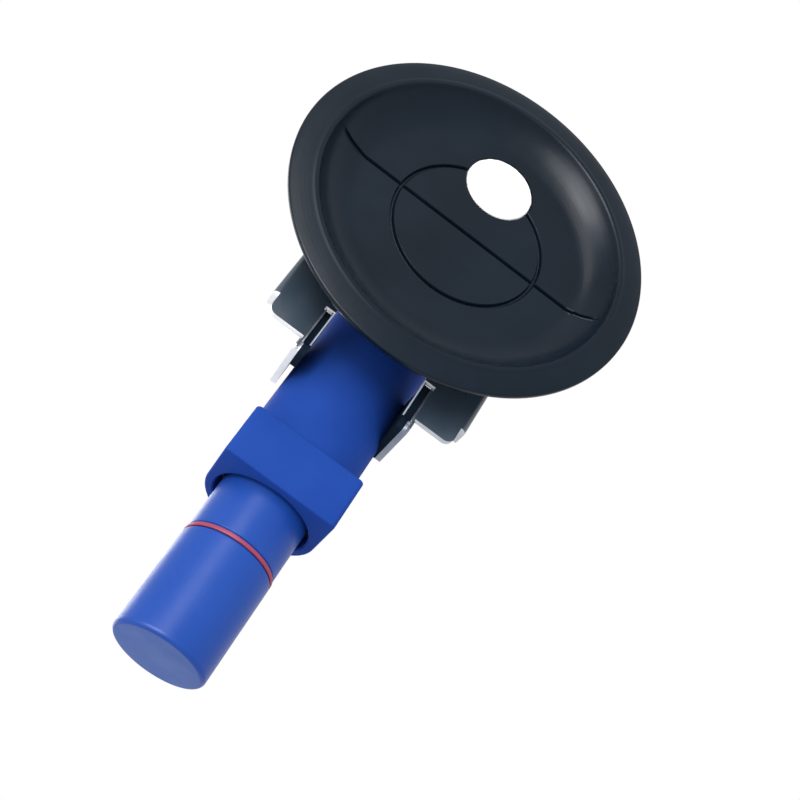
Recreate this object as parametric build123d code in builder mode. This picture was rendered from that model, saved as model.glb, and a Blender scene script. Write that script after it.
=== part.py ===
# Hand-pump suction cup lifter, in millimetres.
# A round rubber pad faces down, with its sealing edge on Z = 0 and its centre on the Z axis.
# The pump lies across the pad's back along +X. Its plunger stands out at rest and is pushed in along -X.
from build123d import *
import os

os.makedirs("parts", exist_ok=True)

# Driving sizes: overall
overall_length = 135.0          # from the pad's far edge to the plunger's end
pad_radius = 37.5
axis_height = 25.7              # pump axis above the sealing edge
seat_clearance = 0.1            # between pieces that sit in one another
sliding_clearance = 0.3         # between the plunger's ring and the bore it passes through
running_clearance = 0.05        # a seal or bush on the piece that it guides

# Driving sizes: rubber pad
edge_radius = 32.3              # middle of the flat sealing edge
edge_land = 0.8
rim_setback = 0.7               # how far the outer rim stands back from the sealing edge
rim_thickness = 0.9
cavity_depth = 5.0
floor_radius = 23.8             # where the flat floor starts to curve up into the wall
pad_web = 3.0                   # rubber over the cavity
groove_width = 1.0
groove_depth = 0.8
ring_groove_radius = 16.0
cross_groove_reach = 31.0
felt_radius = 7.4
felt_recess = 1.2
felt_proud = 0.4
port_x = -14.6                  # where the pump draws through the pad

# Driving sizes: backing plate and bracket
plate_radius = 29.5
plate_thickness = 3.2
pad_collar_width = 1.6          # rubber collar round the backing plate
pad_collar_height = 2.2
sheet = 1.2                     # bracket sheet
bend_radius = 1.3               # outer radius of the bracket's bends
bracket_front_x = 38.2
bracket_half_width = 20.8       # of the flat plate, up to its side bends
side_flange_height = 5.0
side_flange_setback = 4.5       # from each end of the bracket
notch_x = 25.0                  # where the front cut-out for the barrel starts
relief_x = 29.8                 # where the relief slot behind each front tab starts
relief_width = 0.9
tab_front_x = 41.0
tab_top = 27.5
tab_barrel_gap = 0.2
tab_bend_radius = 1.7           # outer radius of the bend under each front tab
tab_corner = 1.8
wing_corner = 1.8
rear_wall_half_width = 9.0
rear_wall_gap = 0.4

# Driving sizes: screws
bracket_screw_x = 18.0
bracket_screw_y = 17.0
bracket_screw_radius = 2.0
screw_head_radius = 3.4
screw_head_height = 2.0
screw_hole_gap = 0.2
recess_radius = 1.3
recess_depth = 1.1
foot_screw_x = (-23.0, 20.0)
foot_screw_radius = 1.5
foot_screw_head_radius = 2.6
foot_screw_head_height = 1.6
foot_screw_web = 1.25           # barrel wall left beyond each foot screw

# Driving sizes: pump
plunger_radius = 9.15
stem_radius = 8.95              # the plunger between the red ring and the piston
sleeve_bore = 7.6
indicator_proud = 0.2
indicator_width = 1.2
indicator_x = 76.0
cap_thickness = 2.4
cap_spigot = 8.0
cap_rounding = 1.4
barrel_wall = 1.15
barrel_rear_x = -30.0
barrel_front_x = 58.0
stroke = 25.0
foot_half_width = 6.0
foot_end_margin = 4.0
spigot_radius = 5.0
spigot_depth = 2.0
collar_rear_x = 54.0
collar_front_x = 65.0
collar_side = 11.7
collar_flat = 12.2              # from the pump axis down to the flat that faces the pad
collar_rounding = 1.0
collar_edge = 0.4
collar_lip = 3.0
collar_mouth_gap = 0.75         # dark ring round the plunger at the collar's mouth
bush_wall = 0.9
plug_flange = 2.0
plug_length = 5.0
plug_boss_length = 3.0
seal_thickness = 0.75
piston_length = 6.0
piston_boss_length = 2.0
piston_hub_length = 6.0
piston_seal_width = 1.8
piston_seal_depth = 1.6
spring_wire = 0.6
spring_turns = 7
spring_mean_radius = 7.4
spring_end_gap = 0.1
spring_packed_length = 14.0     # room left for the spring with the plunger pushed right in

# Driving sizes: valves
port_bore = 1.2
ferrule_wall = 1.3
ferrule_flange = 0.8
ferrule_flange_radius = 5.0
valve_chamber_radius = 3.4
valve_radius = 2.4
valve_thickness = 1.0
valve_travel = 0.8
valve_stop_gap = 0.1
vent_count = 3
vent_radius = 0.6
vent_circle = 2.7
cage_thickness = 1.5
sleeve_vent_radius = 1.2
sleeve_vent_x = 32.0

# Worked out from the driving sizes
plunger_end_x = overall_length - pad_radius
indicator_radius = plunger_radius + indicator_proud
bore_radius = indicator_radius + sliding_clearance
barrel_radius = bore_radius + barrel_wall
wall_arc = ((edge_radius - edge_land / 2 - floor_radius) ** 2 + cavity_depth ** 2) / (2 * cavity_depth)
pad_back = cavity_depth + pad_web
plate_top = pad_back + plate_thickness
bracket_top = plate_top + sheet
foot_screw_depth = axis_height - bore_radius - plate_top - foot_screw_web
bracket_rear_x = barrel_rear_x - plug_flange - rear_wall_gap - sheet
bracket_length = bracket_front_x - bracket_rear_x
bracket_middle_x = (bracket_front_x + bracket_rear_x) / 2
tab_inner_y = barrel_radius + tab_barrel_gap
tab_bend_y = tab_inner_y + tab_bend_radius
tab_bend_z = plate_top + tab_bend_radius
tab_rear_x = relief_x + relief_width
ferrule_radius = port_bore + ferrule_wall
spigot_bottom = plate_top - spigot_depth + 2 * seal_thickness - 2 * seat_clearance
valve_seat_z = spigot_bottom + seal_thickness
valve_ceiling_z = valve_seat_z + valve_thickness + valve_travel + valve_stop_gap
piston_radius = bore_radius - sliding_clearance
plug_face_x = barrel_rear_x + plug_length
piston_front_x = plug_face_x + spring_packed_length + stroke
piston_rear_x = piston_front_x + piston_length
hub_end_x = piston_rear_x + piston_hub_length
exhaust_seat_x = piston_front_x + piston_length / 2
cage_x = exhaust_seat_x + valve_thickness + valve_travel + valve_stop_gap
plug_boss_radius = spring_mean_radius - spring_wire - sliding_clearance
cap_x = plunger_end_x - cap_thickness


def pump_plane(x):
    """A plane across the pump axis, facing the plunger's end."""
    return Plane(origin=(x, 0, axis_height), x_dir=(0, 1, 0), z_dir=(1, 0, 0))


# Rubber pad: a shallow cup with a sealing edge, a thin outer rim and a collar round its backing plate
land_in = edge_radius - edge_land / 2
land_out = edge_radius + edge_land / 2
collar_in = plate_radius + seat_clearance
collar_out = collar_in + pad_collar_width
with BuildPart() as rubber_pad:
    with BuildSketch(Plane.XZ):
        with BuildLine():
            Line((0, cavity_depth), (floor_radius, cavity_depth))
            TangentArc((floor_radius, cavity_depth), (land_in, 0), tangent=(1, 0))
            Line((land_in, 0), (land_out, 0))
            rim_low = (pad_radius, rim_setback)
            ThreePointArc((land_out, 0), ((land_out + pad_radius) / 2, rim_setback * 0.3), rim_low)
            rim_high = (pad_radius, rim_setback + rim_thickness)
            Line(rim_low, rim_high)
            shoulder = (collar_out + 1.2, pad_back - 1.0)
            ThreePointArc(rim_high, ((pad_radius + collar_out) / 2 + 1.4, pad_back * 0.55), shoulder)
            collar_top = pad_back + pad_collar_height
            Polyline(shoulder, (collar_out, collar_top), (collar_in, collar_top), (collar_in, pad_back),
                     (0, pad_back), (0, cavity_depth))
        make_face()
    revolve(axis=Axis.Z)
    with BuildSketch(Plane.XY.offset(cavity_depth)):
        Circle(ring_groove_radius + groove_width / 2)
        Circle(ring_groove_radius - groove_width / 2, mode=Mode.SUBTRACT)
    extrude(amount=groove_depth, mode=Mode.SUBTRACT)
    # The cross groove runs over the floor and up the wall, under the wall's own arc sunk by its depth
    with BuildSketch(Plane.YZ.offset(-groove_width / 2)):
        Rectangle(2 * floor_radius, cavity_depth + groove_depth, align=(Align.CENTER, Align.MIN))
        with Locations((floor_radius, cavity_depth - wall_arc), (-floor_radius, cavity_depth - wall_arc)):
            Circle(wall_arc + groove_depth)
        Rectangle(2 * cross_groove_reach, cavity_depth + groove_depth, align=(Align.CENTER, Align.MIN),
                  mode=Mode.INTERSECT)
    extrude(amount=groove_width, mode=Mode.SUBTRACT)
    with Locations((port_x, 0, cavity_depth)):
        with Locations(Location((0, 0, felt_recess / 2))):
            Cylinder(felt_radius + seat_clearance, felt_recess, mode=Mode.SUBTRACT)
        with Locations(Location((0, 0, felt_recess + ferrule_flange / 2))):
            Cylinder(ferrule_flange_radius + seat_clearance, ferrule_flange, mode=Mode.SUBTRACT)
        Cylinder(ferrule_radius + seat_clearance, 4 * pad_web, mode=Mode.SUBTRACT)
rubber_pad.part.label = "rubber_pad"
export_step(rubber_pad.part, "parts/rubber_pad.step")

# Filter felt: a soft disc let into the pad's floor over the port
with BuildPart() as filter_felt:
    with BuildSketch(Plane(origin=(port_x, 0, cavity_depth - felt_proud))):
        Circle(felt_radius)
    extrude(amount=felt_proud + felt_recess)
    fillet(filter_felt.edges().group_by(Axis.Z)[0], felt_proud / 2)
filter_felt.part.label = "filter_felt"
export_step(filter_felt.part, "parts/filter_felt.step")

# Port ferrule: a flanged tube through pad and plate, whose top end is the intake valve's seat
flange_z = cavity_depth + felt_recess
with BuildPart() as port_ferrule:
    with BuildSketch(Plane(origin=(port_x, 0, flange_z))):
        Circle(ferrule_flange_radius)
    extrude(amount=ferrule_flange)
    with BuildSketch(Plane(origin=(port_x, 0, flange_z))):
        Circle(ferrule_radius)
    extrude(amount=valve_seat_z - flange_z)
    with BuildSketch(Plane(origin=(port_x, 0, flange_z))):
        Circle(port_bore)
    extrude(amount=valve_seat_z - flange_z, mode=Mode.SUBTRACT)
port_ferrule.part.label = "port_ferrule"
export_step(port_ferrule.part, "parts/port_ferrule.step")

# Backing plate: a stiff disc held in the pad's collar, tapped for the bracket's screws
socket_z = plate_top - spigot_depth
with BuildPart() as backing_plate:
    with BuildSketch(Plane.XY.offset(pad_back)):
        Circle(plate_radius)
        with GridLocations(2 * bracket_screw_x, 2 * bracket_screw_y, 2, 2):
            Circle(bracket_screw_radius, mode=Mode.SUBTRACT)
        with Locations((port_x, 0)):
            Circle(ferrule_radius + seat_clearance, mode=Mode.SUBTRACT)
    extrude(amount=plate_thickness)
    chamfer(backing_plate.faces().sort_by(Axis.Z)[-1].outer_wire().edges(), 0.6)
    with BuildSketch(Plane.XY.offset(socket_z)):
        with Locations((port_x, 0)):
            Circle(spigot_radius + seat_clearance)
        with Locations([(x, 0) for x in foot_screw_x]):
            Circle(foot_screw_head_radius + screw_hole_gap)
    extrude(amount=spigot_depth, mode=Mode.SUBTRACT)
backing_plate.part.label = "backing_plate"
export_step(backing_plate.part, "parts/backing_plate.step")

# Port seal: a rubber ring under the barrel's spigot, round the ferrule
seal_z = socket_z + seal_thickness - seat_clearance
with BuildPart() as port_seal:
    with BuildSketch(Plane(origin=(port_x, 0, 0), x_dir=(1, 0, 0), z_dir=(0, -1, 0))):
        with Locations((ferrule_radius + seat_clearance + seal_thickness, seal_z)):
            Circle(seal_thickness - seat_clearance)
    revolve(axis=Axis((port_x, 0, 0), (0, 0, 1)))
port_seal.part.label = "port_seal"
export_step(port_seal.part, "parts/port_seal.step")

# Bracket: folded sheet with side flanges, a rear wall and two front tabs that cradle the barrel
flange_length = bracket_length - 2 * side_flange_setback
flange_outer_y = bracket_half_width + bend_radius
with BuildPart() as saddle_bracket:
    with BuildSketch(Plane.XY.offset(plate_top)):
        with Locations((bracket_middle_x, 0)):
            RectangleRounded(bracket_length, 2 * bracket_half_width, wing_corner)
    extrude(amount=sheet)
    with BuildSketch(Plane.YZ.offset(bracket_middle_x - flange_length / 2)):
        with Locations((0, plate_top)):
            Rectangle(2 * flange_outer_y, side_flange_height, align=(Align.CENTER, Align.MIN))
        with Locations((0, bracket_top)):
            Rectangle(2 * (flange_outer_y - sheet), side_flange_height,
                      align=(Align.CENTER, Align.MIN), mode=Mode.SUBTRACT)
    extrude(amount=flange_length)
    outer_bends = saddle_bracket.edges().filter_by(Axis.X).filter_by(
        lambda e: abs(e.center().Z - plate_top) < 0.01 and abs(abs(e.center().Y) - flange_outer_y) < 0.01)
    fillet(outer_bends, bend_radius - seat_clearance)
    # The cut-out under the barrel's front, with a relief slot behind each tab
    with BuildSketch(Plane.XY.offset(plate_top)):
        with Locations((notch_x, 0)):
            Rectangle(bracket_front_x - notch_x, 2 * tab_inner_y - 2 * bend_radius,
                      align=(Align.MIN, Align.CENTER))
        with Locations((relief_x, 0)):
            Rectangle(bracket_front_x - relief_x, 2 * tab_bend_y, align=(Align.MIN, Align.CENTER))
    extrude(amount=sheet, mode=Mode.SUBTRACT)
    # Front tabs: bent up out of the plate along the barrel, and longer than the plate
    with BuildSketch(Plane.YZ.offset(tab_rear_x)):
        with BuildLine():
            Line((tab_inner_y + sheet / 2, tab_top), (tab_inner_y + sheet / 2, tab_bend_z))
            CenterArc((tab_bend_y, tab_bend_z), tab_bend_radius - sheet / 2, 180, 90)
        trace(line_width=sheet)
        mirror(about=Plane.YZ)
    extrude(amount=tab_front_x - tab_rear_x)
    tab_corners = saddle_bracket.edges().filter_by(Axis.Y).filter_by(
        lambda e: abs(e.center().Z - tab_top) < 0.01)
    fillet(tab_corners, tab_corner)
    # Rear wall behind the pump, with a round top about the pump axis
    with BuildSketch(Plane.YZ.offset(bracket_rear_x)):
        with Locations((0, plate_top)):
            Rectangle(2 * rear_wall_half_width, axis_height - plate_top, align=(Align.CENTER, Align.MIN))
        with Locations((0, axis_height)):
            Circle(rear_wall_half_width)
            Circle(bracket_screw_radius + screw_hole_gap, mode=Mode.SUBTRACT)
    extrude(amount=sheet)
    rear_bend = saddle_bracket.edges().filter_by(Axis.Y).filter_by(
        lambda e: abs(e.center().Z - plate_top) < 0.01 and abs(e.center().X - bracket_rear_x) < 0.01)
    fillet(rear_bend, sheet - seat_clearance)
    with BuildSketch(Plane.XY.offset(plate_top)):
        with GridLocations(2 * bracket_screw_x, 2 * bracket_screw_y, 2, 2):
            Circle(bracket_screw_radius + screw_hole_gap)
        with Locations([(x, 0) for x in foot_screw_x]):
            Circle(foot_screw_radius + screw_hole_gap)
        with Locations((port_x, 0)):
            Circle(spigot_radius + seat_clearance)
    extrude(amount=sheet, mode=Mode.SUBTRACT)
saddle_bracket.part.label = "saddle_bracket"
export_step(saddle_bracket.part, "parts/saddle_bracket.step")

# Bracket screws: four pan heads with hexagon recesses, down into the backing plate
with BuildPart() as bracket_screws:
    with BuildSketch(Plane.XY.offset(bracket_top)):
        with GridLocations(2 * bracket_screw_x, 2 * bracket_screw_y, 2, 2):
            Circle(screw_head_radius)
    extrude(amount=screw_head_height)
    fillet(bracket_screws.edges().group_by(Axis.Z)[-1], screw_head_height / 3)
    with BuildSketch(Plane.XY.offset(bracket_top + screw_head_height - recess_depth)):
        with GridLocations(2 * bracket_screw_x, 2 * bracket_screw_y, 2, 2):
            RegularPolygon(recess_radius, 6)
    extrude(amount=recess_depth, mode=Mode.SUBTRACT)
    with BuildSketch(Plane.XY.offset(pad_back + seat_clearance)):
        with GridLocations(2 * bracket_screw_x, 2 * bracket_screw_y, 2, 2):
            Circle(bracket_screw_radius - seat_clearance / 2)
    extrude(amount=bracket_top - pad_back - seat_clearance)
bracket_screws.part.label = "bracket_screws"
export_step(bracket_screws.part, "parts/bracket_screws.step")

# Foot screws: two screws up through the bracket into the barrel's foot, heads sunk in the plate
with BuildPart() as foot_screws:
    with BuildSketch(Plane.XY.offset(plate_top - foot_screw_head_height)):
        with Locations([(x, 0) for x in foot_screw_x]):
            Circle(foot_screw_head_radius)
    extrude(amount=foot_screw_head_height)
    with BuildSketch(Plane.XY.offset(plate_top)):
        with Locations([(x, 0) for x in foot_screw_x]):
            Circle(foot_screw_radius)
    extrude(amount=foot_screw_depth - seat_clearance)
foot_screws.part.label = "foot_screws"
export_step(foot_screws.part, "parts/foot_screws.step")

# Barrel: the pump's tube with a flat foot along its underside and a spigot for the port
barrel_length = barrel_front_x - barrel_rear_x
foot_rear_x = barrel_rear_x + foot_end_margin
foot_length = notch_x - foot_rear_x
with BuildPart() as pump_barrel:
    with BuildSketch(pump_plane(barrel_rear_x)):
        Circle(barrel_radius)
    extrude(amount=barrel_length)
    with BuildSketch(Plane.XY.offset(bracket_top)):
        with Locations((foot_rear_x, 0)):
            Rectangle(foot_length, 2 * foot_half_width, align=(Align.MIN, Align.CENTER))
    extrude(amount=axis_height - bracket_top)
    with BuildSketch(Plane(origin=(port_x, 0, spigot_bottom))):
        Circle(spigot_radius)
    extrude(amount=bracket_top - spigot_bottom)
    with BuildSketch(pump_plane(barrel_rear_x)):
        Circle(bore_radius)
    extrude(amount=barrel_length, mode=Mode.SUBTRACT)
    with BuildSketch(Plane(origin=(port_x, 0, spigot_bottom))):
        Circle(valve_chamber_radius)
    extrude(amount=valve_ceiling_z - spigot_bottom, mode=Mode.SUBTRACT)
    with BuildSketch(Plane(origin=(port_x, 0, valve_ceiling_z))):
        with PolarLocations(vent_circle, vent_count):
            Circle(vent_radius)
    extrude(amount=axis_height - bore_radius / 2 - valve_ceiling_z, mode=Mode.SUBTRACT)
    with BuildSketch(Plane.XY.offset(bracket_top)):
        with Locations([(x, 0) for x in foot_screw_x]):
            Circle(foot_screw_radius + seat_clearance)
    extrude(amount=foot_screw_depth - sheet, mode=Mode.SUBTRACT)
pump_barrel.part.label = "pump_barrel"
export_step(pump_barrel.part, "parts/pump_barrel.step")

# Intake valve: a loose disc on the ferrule's end that lifts when the piston draws
with BuildPart() as intake_valve:
    with BuildSketch(Plane(origin=(port_x, 0, valve_seat_z))):
        Circle(valve_radius)
    extrude(amount=valve_thickness)
intake_valve.part.label = "intake_valve"
export_step(intake_valve.part, "parts/intake_valve.step")

# Rear plug: closes the barrel, centres the spring and takes the rear screw
groove_radius = bore_radius - 2 * seal_thickness
plug_seal_x = (barrel_rear_x + plug_face_x) / 2
with BuildPart() as rear_plug:
    with BuildSketch(pump_plane(barrel_rear_x - plug_flange)):
        Circle(barrel_radius)
    extrude(amount=plug_flange)
    chamfer(rear_plug.edges().group_by(Axis.X)[0], 0.5)
    with BuildSketch(pump_plane(barrel_rear_x)):
        Circle(bore_radius - seat_clearance)
    extrude(amount=plug_length)
    with BuildSketch(pump_plane(plug_seal_x - seal_thickness)):
        Circle(bore_radius)
        Circle(groove_radius, mode=Mode.SUBTRACT)
    extrude(amount=2 * seal_thickness, mode=Mode.SUBTRACT)
    with BuildSketch(pump_plane(plug_face_x)):
        Circle(plug_boss_radius)
    extrude(amount=plug_boss_length)
    chamfer(rear_plug.edges().group_by(Axis.X)[-1], 0.5)
    with BuildSketch(pump_plane(barrel_rear_x - plug_flange)):
        Circle(bracket_screw_radius)
    extrude(amount=plug_flange + plug_length, mode=Mode.SUBTRACT)
rear_plug.part.label = "rear_plug"
export_step(rear_plug.part, "parts/rear_plug.step")

# Plug seal: a rubber ring in the plug's groove
with BuildPart() as plug_seal:
    with BuildSketch(Plane.XZ):
        with Locations((plug_seal_x, axis_height + bore_radius - seal_thickness)):
            Circle(seal_thickness - running_clearance)
    revolve(axis=Axis((0, 0, axis_height), (1, 0, 0)))
plug_seal.part.label = "plug_seal"
export_step(plug_seal.part, "parts/plug_seal.step")

# Rear screw: holds the plug and barrel to the bracket's rear wall
rear_shank = sheet + rear_wall_gap + plug_flange + plug_length - seat_clearance
with BuildPart() as rear_screw:
    with BuildSketch(pump_plane(bracket_rear_x - screw_head_height)):
        Circle(screw_head_radius)
    extrude(amount=screw_head_height)
    fillet(rear_screw.edges().group_by(Axis.X)[0], screw_head_height / 3)
    with BuildSketch(pump_plane(bracket_rear_x - screw_head_height)):
        RegularPolygon(recess_radius, 6)
    extrude(amount=recess_depth, mode=Mode.SUBTRACT)
    with BuildSketch(pump_plane(bracket_rear_x)):
        Circle(bracket_screw_radius - seat_clearance / 2)
    extrude(amount=rear_shank)
rear_screw.part.label = "rear_screw"
export_step(rear_screw.part, "parts/rear_screw.step")

# Plug spacer: a thin washer between the plug's flange and the rear wall
with BuildPart() as plug_washer:
    with BuildSketch(pump_plane(bracket_rear_x + sheet)):
        Circle(screw_head_radius + 1.0)
        Circle(bracket_screw_radius + screw_hole_gap, mode=Mode.SUBTRACT)
    extrude(amount=rear_wall_gap)
plug_washer.part.label = "plug_washer"
export_step(plug_washer.part, "parts/plug_washer.step")

# Collar: a block on the barrel's mouth with a flat towards the pad and a round back
bush_radius = indicator_radius + running_clearance + bush_wall
lip_x = collar_front_x - collar_lip
mouth_radius = plunger_radius + collar_mouth_gap
with BuildPart() as front_collar:
    with BuildSketch(pump_plane(collar_rear_x)) as collar_profile:
        Circle(collar_side)
        Rectangle(2 * collar_side, collar_flat, align=(Align.CENTER, Align.MAX))
        fillet(collar_profile.vertices().group_by(Axis.Z)[0], collar_rounding)
    extrude(amount=collar_front_x - collar_rear_x)
    collar_ends = front_collar.faces().filter_by(Axis.X)
    fillet(collar_ends.edges(), collar_edge)
    with BuildSketch(pump_plane(collar_rear_x)):
        Circle(barrel_radius)
    extrude(amount=barrel_front_x - collar_rear_x, mode=Mode.SUBTRACT)
    with BuildSketch(pump_plane(barrel_front_x)):
        Circle(bush_radius)
    extrude(amount=lip_x - barrel_front_x, mode=Mode.SUBTRACT)
    with BuildSketch(pump_plane(lip_x)):
        Circle(mouth_radius)
    extrude(amount=collar_lip, mode=Mode.SUBTRACT)
front_collar.part.label = "front_collar"
export_step(front_collar.part, "parts/front_collar.step")

# Guide bush: a plain ring in the collar that the plunger slides in
with BuildPart() as guide_bush:
    with BuildSketch(pump_plane(barrel_front_x)):
        Circle(bush_radius - running_clearance)
        Circle(indicator_radius + running_clearance, mode=Mode.SUBTRACT)
    extrude(amount=lip_x - barrel_front_x - seat_clearance)
guide_bush.part.label = "guide_bush"
export_step(guide_bush.part, "parts/guide_bush.step")

# Plunger sleeve: a tube with a stem, a ring groove and a slightly thicker push end
with BuildPart() as plunger_sleeve:
    with BuildSketch(pump_plane(piston_rear_x)):
        Circle(stem_radius)
    extrude(amount=indicator_x - piston_rear_x)
    with BuildSketch(pump_plane(indicator_x)):
        Circle(stem_radius - indicator_proud)
    extrude(amount=indicator_width)
    with BuildSketch(pump_plane(indicator_x + indicator_width)):
        Circle(plunger_radius)
    extrude(amount=cap_x - indicator_x - indicator_width)
    with BuildSketch(pump_plane(piston_rear_x)):
        Circle(sleeve_bore)
    extrude(amount=cap_x - piston_rear_x, mode=Mode.SUBTRACT)
    with BuildSketch(Plane(origin=(sleeve_vent_x, 0, axis_height - 2 * stem_radius))):
        Circle(sleeve_vent_radius)
    extrude(amount=4 * stem_radius, mode=Mode.SUBTRACT)
plunger_sleeve.part.label = "plunger_sleeve"
export_step(plunger_sleeve.part, "parts/plunger_sleeve.step")

# Vacuum indicator: a red ring that stays in sight until the pad holds
with BuildPart() as indicator_ring:
    with BuildSketch(pump_plane(indicator_x)):
        Circle(indicator_radius)
        Circle(stem_radius - indicator_proud, mode=Mode.SUBTRACT)
    extrude(amount=indicator_width)
    fillet(indicator_ring.faces().filter_by(GeomType.CYLINDER).sort_by(SortBy.AREA)[-1].edges(),
           indicator_width / 4)
indicator_ring.part.label = "indicator_ring"
export_step(indicator_ring.part, "parts/indicator_ring.step")

# Plunger cap: the round push face, with a spigot inside the sleeve
with BuildPart() as plunger_cap:
    with BuildSketch(pump_plane(cap_x)):
        Circle(plunger_radius)
    extrude(amount=cap_thickness)
    fillet(plunger_cap.edges().group_by(Axis.X)[-1], cap_rounding)
    with BuildSketch(pump_plane(cap_x - cap_spigot)):
        Circle(sleeve_bore)
        Circle(sleeve_bore - barrel_wall, mode=Mode.SUBTRACT)
    extrude(amount=cap_spigot)
plunger_cap.part.label = "plunger_cap"
export_step(plunger_cap.part, "parts/plunger_cap.step")

# Piston head: a disc with a seal groove, a spring boss and a hollow hub in the sleeve
piston_groove_x = piston_front_x + (piston_length - piston_seal_width) / 2
with BuildPart() as piston_head:
    with BuildSketch(pump_plane(piston_front_x)):
        Circle(piston_radius)
    extrude(amount=piston_length)
    with BuildSketch(pump_plane(piston_groove_x)):
        Circle(piston_radius)
        Circle(piston_radius - piston_seal_depth, mode=Mode.SUBTRACT)
    extrude(amount=piston_seal_width, mode=Mode.SUBTRACT)
    with BuildSketch(pump_plane(piston_front_x - piston_boss_length)):
        Circle(plug_boss_radius)
    extrude(amount=piston_boss_length)
    chamfer(piston_head.edges().group_by(Axis.X)[0], 0.5)
    with BuildSketch(pump_plane(piston_rear_x)):
        Circle(sleeve_bore)
    extrude(amount=piston_hub_length)
    with BuildSketch(pump_plane(piston_front_x - piston_boss_length)):
        Circle(port_bore)
    extrude(amount=piston_length + piston_boss_length, mode=Mode.SUBTRACT)
    with BuildSketch(pump_plane(exhaust_seat_x)):
        Circle(valve_chamber_radius)
    extrude(amount=hub_end_x - exhaust_seat_x, mode=Mode.SUBTRACT)
piston_head.part.label = "piston_head"
export_step(piston_head.part, "parts/piston_head.step")

# Piston seal: a rubber ring that runs on the barrel's bore
with BuildPart() as piston_seal:
    with BuildSketch(pump_plane(piston_groove_x + running_clearance)):
        Circle(bore_radius - running_clearance)
        Circle(piston_radius - piston_seal_depth, mode=Mode.SUBTRACT)
    extrude(amount=piston_seal_width - 2 * running_clearance)
    fillet(piston_seal.faces().filter_by(GeomType.CYLINDER).sort_by(SortBy.AREA)[-1].edges(),
           piston_seal_width / 4)
piston_seal.part.label = "piston_seal"
export_step(piston_seal.part, "parts/piston_seal.step")

# Exhaust valve: a disc in the piston's hub that opens as the plunger is pushed in
with BuildPart() as exhaust_valve:
    with BuildSketch(pump_plane(exhaust_seat_x)):
        Circle(valve_radius)
    extrude(amount=valve_thickness)
exhaust_valve.part.label = "exhaust_valve"
export_step(exhaust_valve.part, "parts/exhaust_valve.step")

# Valve cage: a drilled disc that keeps the exhaust valve on its seat's side
with BuildPart() as valve_cage:
    with BuildSketch(pump_plane(cage_x)):
        Circle(valve_chamber_radius)
        with PolarLocations(vent_circle, vent_count):
            Circle(vent_radius, mode=Mode.SUBTRACT)
    extrude(amount=cage_thickness)
valve_cage.part.label = "valve_cage"
export_step(valve_cage.part, "parts/valve_cage.step")

# Return spring: one coil between the plug's face and the piston's face
spring_start_x = plug_face_x + spring_wire + spring_end_gap
spring_length = piston_front_x - plug_face_x - 2 * (spring_wire + spring_end_gap)
with BuildPart() as return_spring:
    with BuildLine():
        coil = Helix(pitch=spring_length / spring_turns, height=spring_length, radius=spring_mean_radius,
                     center=(spring_start_x, 0, axis_height), direction=(1, 0, 0))
    with BuildSketch(Plane(coil ^ 0)):
        Circle(spring_wire)
    sweep()
return_spring.part.label = "return_spring"
export_step(return_spring.part, "parts/return_spring.step")
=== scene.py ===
from math import asin, atan2, cos, pi, radians, sin, sqrt, tan

import bmesh
import bpy
from mathutils import Matrix, Vector, noise


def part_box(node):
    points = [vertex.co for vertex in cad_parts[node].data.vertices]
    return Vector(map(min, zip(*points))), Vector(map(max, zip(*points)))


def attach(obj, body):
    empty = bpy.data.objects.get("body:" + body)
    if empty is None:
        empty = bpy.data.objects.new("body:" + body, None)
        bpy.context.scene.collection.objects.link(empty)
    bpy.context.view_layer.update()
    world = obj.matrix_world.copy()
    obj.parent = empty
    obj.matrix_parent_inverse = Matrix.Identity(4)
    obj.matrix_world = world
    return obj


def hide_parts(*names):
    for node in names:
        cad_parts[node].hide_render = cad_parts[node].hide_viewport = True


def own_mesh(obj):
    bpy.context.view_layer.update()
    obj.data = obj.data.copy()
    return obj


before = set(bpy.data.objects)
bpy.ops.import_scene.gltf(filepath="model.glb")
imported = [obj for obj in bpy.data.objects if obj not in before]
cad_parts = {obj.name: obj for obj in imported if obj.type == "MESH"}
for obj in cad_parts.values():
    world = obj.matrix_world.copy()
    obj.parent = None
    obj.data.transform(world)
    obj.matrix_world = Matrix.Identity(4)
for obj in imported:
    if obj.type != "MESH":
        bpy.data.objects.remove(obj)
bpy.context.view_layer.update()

MM = 0.001
SEGMENTS = 192                  # faces round a turned piece
OVERSHOOT = 1 * MM              # how far a cutting tool reaches past what it cuts


# Sizes taken from the frame, in metres

def span(node, axis):
    """The lowest and highest coordinate of a node along one axis (0, 1 or 2)."""
    low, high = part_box(node)
    return low[axis], high[axis]


pad_radius = span("rubber_pad", 0)[1]
pad_top = span("rubber_pad", 2)[1]
plate_low = span("backing_plate", 2)[0]
plate_radius = span("backing_plate", 0)[1]
felt_low, felt_high = span("filter_felt", 2)
felt_radius = (span("filter_felt", 0)[1] - span("filter_felt", 0)[0]) / 2
port_x = sum(span("port_ferrule", 0)) / 2
barrel_rear, barrel_front = span("pump_barrel", 0)
barrel_radius = span("pump_barrel", 1)[1]
axis_height = span("pump_barrel", 2)[1] - barrel_radius
foot_low = span("pump_barrel", 2)[0]
collar_rear, collar_front = span("front_collar", 0)
collar_side = span("front_collar", 1)[1]
collar_flat = axis_height - span("front_collar", 2)[0]
sleeve_rear, sleeve_front = span("plunger_sleeve", 0)
plunger_radius = span("plunger_sleeve", 1)[1]
ring_rear, ring_front = span("indicator_ring", 0)
ring_radius = span("indicator_ring", 1)[1]
plunger_end = span("plunger_cap", 0)[1]
bracket_rear, bracket_tab_front = span("saddle_bracket", 0)
bracket_low, bracket_high = span("saddle_bracket", 2)
bracket_side = span("saddle_bracket", 1)[1]
spring_rear, spring_front = span("return_spring", 0)
spring_outer = span("return_spring", 1)[1]
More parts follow.
